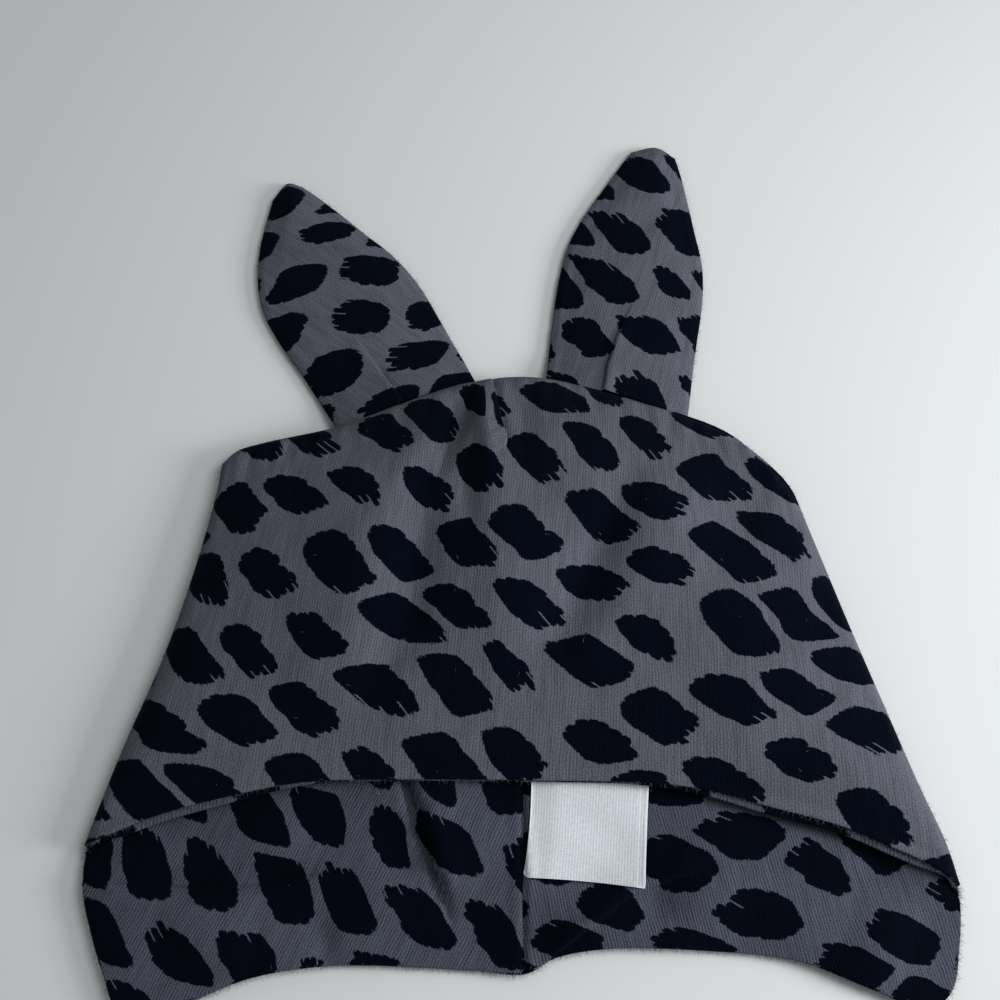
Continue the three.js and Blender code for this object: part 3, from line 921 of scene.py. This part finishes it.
def body_piece(name, outer_inset, roll, material, slot, node, flip):
    """One layer of the hat: front and back meet at the side folds and the crown, and the brim is rounded."""
    sheets = Sheets()
    for panel in (front_panel, back_panel):
        outer, inner = panel.skin(outer_inset, roll), panel.skin(outer_inset + CLOTH, roll)
        raw = panel.places
        if panel.front:
            flat, other_flat = front_grain(raw), turned_grain(raw, DART_GRAIN) + DART_CUT
            share = dart_band(raw)
        else:
            flat, other_flat = turned_grain(raw, RIGHT_BACK_GRAIN), turned_grain(raw, LEFT_BACK_GRAIN)
            share = (raw[..., 0] < BACK_SEAM_X).astype(float)
        if flip:
            cut = LINING_FRONT_CUT if panel.front else LINING_BACK_CUT
            flat = turned_over(flat, cut)
            other_flat = turned_over(other_flat, np.add(cut, LINING_SECOND_STEP))
        elif not panel.front:
            flat, other_flat = flat + BACK_CUTS[0], other_flat + BACK_CUTS[1]
        sheets.add(outer, flat, not panel.front, (other_flat, share))
        sheets.add(inner, flat, panel.front, (other_flat, share))
        edge = rim(outer, inner)
        down = np.stack([np.zeros(len(edge)), np.linspace(0, CLOTH, len(edge))], -1)[:, None]
        shares = np.repeat(share[:1], len(edge), axis=0)
        sheets.add(edge, flat[0][None] - down, panel.front, (other_flat[0][None] - down, shares))
    return add_piece(name, sheets, material, slot, node)


def cut_area(inset):
    """Area in square metres of one layer's cloth, from the middle of its wall, front and back."""
    total = 0.0
    for panel in (front_panel, back_panel):
        grid = panel.skin(inset + CLOTH / 2)
        one, two = grid[1:, 1:] - grid[:-1, :-1], grid[1:, :-1] - grid[:-1, 1:]
        total += np.linalg.norm(np.cross(one, two), axis=-1).sum() / 2
    return total * 1e-6


# Each layer is one wrapped piece of jersey: twice the brim's width, and as long as the crown and the flaps.
LINING_INSET = CLOTH + LAYER_GAP
body = body_piece("hat_body_jersey", 0.0, 0.0, jersey, "printed_jersey", "hat_body", False)
lining = body_piece(
    "hat_lining_jersey", LINING_INSET, LINING_ROLL, shaded_lining_jersey, "printed_jersey_lining", "hat_lining", True
)
cut_area(0.0)
cut_area(LINING_INSET)


def ear_piece(side, at, turn_degrees, outer_side, shown, grain_degrees):
    """An ear as a soft pillow of two pieces, sewn round the edge and let into the crown seam."""
    samples = np.linspace(0, 1, 801)
    middle = samples[np.argmin(np.abs(crown.at(samples)[:, 0] - at * EAR_SPACING))]
    reach = EAR_BASE / 2 / crown.length
    base_shares = np.linspace(middle - reach, middle + reach, 9)
    tuck = 0.9
    base = crown.at(base_shares) + tuck * crown.right_of(base_shares)
    turn = math.radians(turn_degrees)
    along_axis = np.array([-math.sin(turn), math.cos(turn)])
    across_axis = np.array([math.cos(turn), math.sin(turn)])
    foot = crown.at(middle)

    def edge(sign, base_end):
        points = []
        for along, outer, inner in EAR_EDGES[side]:
            wide = sign * (outer if sign == outer_side else inner)
            points.append(foot + along_axis * along * shown * EAR_LENGTH + across_axis * wide * EAR_WIDTH / 2)
        shift = base_end - points[0]
        return Curve([p + shift * (1 - row[0]) ** 3 for p, row in zip(points, EAR_EDGES[side])])

    left, right = edge(-1, base[0]), edge(1, base[-1])
    tip = foot + along_axis * shown * EAR_LENGTH
    top = Curve([left.at(1), tip, right.at(1)])
    a = 0.5 - 0.5 * np.cos(np.linspace(0, np.pi, EAR_COLUMNS + 1))
    u = np.linspace(0, 1, EAR_ROWS + 1)
    u = 1 - (1 - u) ** 1.25
    raw = patch(Curve(base), top, left, right, a, u)
    outline = [
        *left.at(np.linspace(0, 1, 60)),
        *top.at(np.linspace(0, 1, 12)),
        *right.at(np.linspace(1, 0, 60)),
    ]
    _, pleat_route, *pleat_rest = EAR_PLEATS[side]
    pleat_route = [
        foot + along_axis * v * EAR_LENGTH + across_axis * share * EAR_WIDTH / 2 for share, v in pleat_route
    ]
    gathered = gather(raw, pleat_route)
    raw[1:-1, 1:-1] = gathered[1:-1, 1:-1]
    distance, *_ = route_distance(raw, outline)
    flat = np.minimum(distance / (1.6 * EAR_EDGE_RADIUS), 1)
    sine = np.sqrt(1 - (1 - flat) ** 2)
    local = raw - foot
    along, off = local @ along_axis, local @ across_axis
    seam = FOLD_RADIUS + (EAR_EDGE_RADIUS - FOLD_RADIUS) * smooth(along / EAR_RAMP)
    width = np.maximum(np.abs(off).max(axis=1, keepdims=True), 1)
    pillow = (1 - (off / width) ** 2) * smooth(distance / 7) * EAR_LOFT
    pleat = pleat_height(raw, pleat_route, *pleat_rest)
    ripples = waves(raw, 21 if outer_side < 0 else 22, 16, 0.14) * smooth(distance / 4)
    groove = -0.1 * bell(distance - 1.0, 0.5) * smooth(along / 10)
    top_z = seam + EAR_EDGE_RADIUS * sine + pillow + pleat * smooth(distance / 3) + ripples + groove
    low_z = np.maximum(seam - EAR_EDGE_RADIUS * sine - 0.15 * pillow, 0.02)
    flat_cloth = turn_cloth(np.stack([off, along], -1), math.radians(grain_degrees))
    flat_cloth = turned_over(flat_cloth, (EAR_CUT[0] + EAR_CUT_STEP * outer_side, EAR_CUT[1]))
    sheets = Sheets()
    upper = np.concatenate([raw, top_z[..., None]], -1)
    lower = np.concatenate([raw, low_z[..., None]], -1)
    sheets.add(upper, flat_cloth)
    sheets.add(lower, flat_cloth + EAR_BACK_STEP, True)
    piece = add_piece(
        f"ear_{side}_jersey", sheets, jersey, "printed_jersey", f"ear_{side}_front", f"ear_{side}_back"
    )
    return np.array(outline)


ear_outlines = [ear_piece(*ear) for ear in EARS]


def lining_height(raw):
    """Height of the lining's upper side at raw places in the back panel, away from its edges."""
    grid = back_panel.places
    z = back_panel.skin(2 * CLOTH + LAYER_GAP)[..., 2]
    flat = grid.reshape(-1, 2)
    heights = z.reshape(-1)
    out = []
    for point in np.asarray(raw).reshape(-1, 2):
        gap = np.sum((flat - point) ** 2, axis=1)
        near = np.argpartition(gap, 4)[:4]
        weight = 1 / (gap[near] + 1e-3)
        out.append((heights[near] * weight).sum() / weight.sum())
    return np.array(out).reshape(np.shape(raw)[:-1])


def label_piece():
    """A ribbon folded double at its right edge and sewn down by its left edge, its end a little bowed."""
    ribbon_wall, ribbon_gap, corner_radius = 0.22, 0.22, 1.1
    s = close_shares(LABEL_WIDTH, 46, 0.6, True, True)
    t = close_shares(LABEL_LENGTH, 44, 0.6, True, False)
    corner = np.array([BACK_SEAM_X - 0.1, front_hem.at(0.5)[1] - LABEL_SHOWN])
    x_axis = np.array([math.cos(LABEL_TURN), math.sin(LABEL_TURN)])
    y_axis = np.array([-x_axis[1], x_axis[0]])
    flat = np.stack(np.meshgrid(s * LABEL_WIDTH, t * LABEL_LENGTH), -1)
    shape = flat.copy()
    left = np.clip(1 - flat[..., 0] / corner_radius, 0, 1)
    end_share = np.exp(-flat[..., 1] / 2.5)
    bow = 0.35 * np.sin(np.pi * s)[None]
    shape[..., 1] += end_share * (corner_radius * (1 - np.sqrt(1 - left**2)) + bow)
    shape[..., 0] += 0.45 * np.sin(np.pi * np.clip(flat[..., 1] / 22, 0, 1)) * (1 - s)[None] ** 3
    raw = corner + shape[..., :1] * x_axis + shape[..., 1:] * y_axis
    ground = lining_height(raw)
    lifted = 0.5 * smooth(s / 0.25)[None] + 0.3 * np.sin(t * 9 + 0.6)[:, None] * s[None] ** 2
    ground = ground + 0.1 + lifted + 0.12 * np.sin(s * 5 + 1)[None] * end_share
    thick = 2 * ribbon_wall + ribbon_gap
    middle = ground + thick / 2
    seam_pinch = 1 - 0.55 * bell(s * LABEL_WIDTH, 0.9)
    crease = 1 - 0.3 * bell((1 - s) * LABEL_WIDTH - 1.3, 0.3)

    def skin(half_thick, inset):
        """The ribbon's outside or inside: along the upper layer to the fold, then back along the lower."""
        edge = np.clip((1 - s) * LABEL_WIDTH / half_thick, 0, 1)
        half = half_thick * (np.sqrt(1 - (1 - edge) ** 2) * seam_pinch * crease)[None]
        plan = raw - inset * (s**8)[None, :, None] * x_axis
        upper = np.concatenate([plan, (middle + half)[..., None]], -1)
        lower = np.concatenate([plan, (middle - half)[..., None]], -1)
        return np.concatenate([upper, lower[:, -2::-1]], 1)

    outside, inside = skin(thick / 2, 0), skin(ribbon_gap / 2, ribbon_wall)
    folded = np.concatenate([flat, flat[:, -2::-1] * (-1, 1) + (2 * LABEL_WIDTH, 0)], 1)
    sheets = Sheets()
    sheets.add(outside, folded)
    sheets.add(inside, folded, True)
    for one, other, flat_edge, turned in (
        (outside[0], inside[0], folded[0], True),
        (outside[-1], inside[-1], folded[-1], False),
        (outside[:, 0], inside[:, 0], folded[:, 0], False),
        (outside[:, -1], inside[:, -1], folded[:, -1], True),
    ):
        sheets.add(np.array([one, other]), np.array([flat_edge, flat_edge]), turned)
    piece = add_piece("care_label_ribbon", sheets, ribbon, "woven_label", "care_label")


label_piece()


def fibre(start, way, length, radius, curl):
    """Points and faces of one fibre: a three-sided tube that bends sideways and tapers to its end."""
    steps = np.linspace(0, 1, 5)
    way = way / np.linalg.norm(way)
    level = np.cross(way, [0, 0, 1.0])
    level = level / max(np.linalg.norm(level), 1e-6)
    other = np.cross(way, level)
    middle = start + way * (steps * length)[:, None]
    middle = middle + (level * curl[0] + other * curl[1]) * (length * steps**2)[:, None]
    turns = np.arange(3) * 2 * np.pi / 3
    ring = np.cos(turns)[:, None] * level + np.sin(turns)[:, None] * other
    points = middle[:, None] + ring[None] * (radius * (1 - 0.7 * steps))[:, None, None]
    sides = [
        (3 * k + j, 3 * k + (j + 1) % 3, 3 * k + 3 + (j + 1) % 3, 3 * k + 3 + j)
        for k in range(4)
        for j in range(3)
    ]
    return points.reshape(-1, 3), [*sides, (2, 1, 0), (12, 13, 14)]


def fuzz_piece():
    """Loose cotton fibres on the hems, round the hat and its ears, and a few lying on the cloth."""
    rng = np.random.default_rng(8)
    starts, ways, lengths = [], [], []

    def scatter(line, away, count, shortest_longest):
        for _ in range(count):
            k = rng.uniform(0, len(line) - 1.001)
            whole, part = int(k), k - int(k)
            starts.append(line[whole] * (1 - part) + line[whole + 1] * part)
            ways.append(away[whole] + rng.normal(0, 0.7, 3) * (1, 1, 0.5))
            lengths.append(rng.uniform(*shortest_longest))

    for panel, inset, count in ((front_panel, 0.4, 600), (back_panel, 0.4, 1200), (back_panel, 1.3, 1500)):
        hem_line = panel.skin(inset)[0]
        scatter(hem_line, level_away(hem_line), count, HEM_FIBRES)
    for rim_line, height, count in (
        (silhouette[::6], FOLD_RADIUS, 1100),
        (ear_outlines[0], EAR_EDGE_RADIUS, 350),
        (ear_outlines[1], EAR_EDGE_RADIUS, 350),
    ):
        line = np.column_stack([rim_line, np.full(len(rim_line), height)])
        scatter(line, level_away(rim_line, -1), count, RIM_FIBRES)
    for panel, inset, count in ((front_panel, 0.0, 70), (back_panel, 2 * CLOTH + LAYER_GAP, 25)):
        skin = panel.skin(inset)
        first_row, end_row = (5, 95) if panel.front else (1, 40)
        for _ in range(count):
            row, column = rng.integers(first_row, end_row), rng.integers(20, 190)
            starts.append(skin[row, column] + (0, 0, 0.03))
            ways.append(np.array([*rng.normal(0, 1, 2), 0.1]))
            lengths.append(rng.uniform(*LYING_FIBRES))
    points, faces = [], []
    for start, way, length in zip(starts, ways, lengths):
        tube, sides = fibre(start, way, length, FIBRE_RADIUS, rng.normal(0, 0.35, 2))
        tube[:, 2] = np.maximum(tube[:, 2], 0.05)
        faces.extend(tuple(len(points) * 15 + k for k in side) for side in sides)
        points.append(tube)
    mesh = bpy.data.meshes.new("jersey_fuzz")
    mesh.from_pydata(place(np.vstack(points)).tolist(), [], faces)
    piece = bpy.data.objects.new("jersey_fuzz", mesh)
    bpy.context.scene.collection.objects.link(piece)
    material, _, shader = new_material("loose cotton fibres")
    shader.inputs["Base Color"].default_value = colour("#7f8089")
    shader.inputs["Roughness"].default_value = 0.9
    piece.data.materials.append(material)
    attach(piece, "root")


fuzz_piece()

# Floor: a smooth matt pale surface, in metres from its middle.
FLOOR_REACH = 6
floor_corners = [(x * FLOOR_REACH, y * FLOOR_REACH, 0) for x, y in ((-1, -1), (1, -1), (1, 1), (-1, 1))]
floor_mesh = bpy.data.meshes.new("floor")
floor_mesh.from_pydata(floor_corners, [], [(0, 1, 2, 3)])
floor = bpy.data.objects.new("floor", floor_mesh)
bpy.context.scene.collection.objects.link(floor)
floor_material, floor_tree, floor_shader = new_material("pale matt surface")
floor_shader.inputs["Base Color"].default_value = colour("#d6d8d8")
floor_shader.inputs["Roughness"].default_value = 0.7
floor.data.materials.append(floor_material)

# Camera: 258 mm above the surface, over the lower edge, looking down and up the hat.
CAMERA_RAW = (-4.2, -5.9, 258.2)
CAMERA_DIP = math.radians(71.05)
camera_data = bpy.data.cameras.new("camera")
camera_data.sensor_width = 36
camera_data.lens = 41.4
camera_data.clip_start = 0.01
camera = bpy.data.objects.new("camera", camera_data)
camera.location = place(CAMERA_RAW)
camera.rotation_euler = (math.pi / 2 - CAMERA_DIP, 0, 0)
bpy.context.scene.collection.objects.link(camera)
bpy.context.scene.camera = camera


def area_light(name, location, target, size, power, tint):
    data = bpy.data.lights.new(name, "AREA")
    data.shape = "SQUARE"
    data.size = size
    data.energy = power
    data.color = tint
    light = bpy.data.objects.new(name, data)
    light.location = location
    aim = np.subtract(target, location)
    light.rotation_euler = (
        math.atan2(math.hypot(aim[0], aim[1]), -aim[2]),
        0,
        math.atan2(aim[0], -aim[1]) + math.pi,
    )
    bpy.context.scene.collection.objects.link(light)


# Soft light from above on the right, a window's light low from the right, and a dim pale room all round.
area_light("upper light", (0.22, 0.02, 0.39), (0, 0, 0), 0.2, 0.7, (0.98, 0.99, 1.0))
area_light("window", (0.6, -0.1, 0.27), (0, 0, 0), 0.22, 2.7, (0.96, 0.985, 1.0))
world = bpy.data.worlds.new("room")
world.use_nodes = True
world.node_tree.nodes["Background"].inputs[0].default_value = (0.98, 0.98, 1.0, 1.0)
world.node_tree.nodes["Background"].inputs[1].default_value = 0.29
bpy.context.scene.world = world
bpy.context.scene.view_settings.view_transform = "Standard"
bpy.context.scene.view_settings.look = "Medium High Contrast"
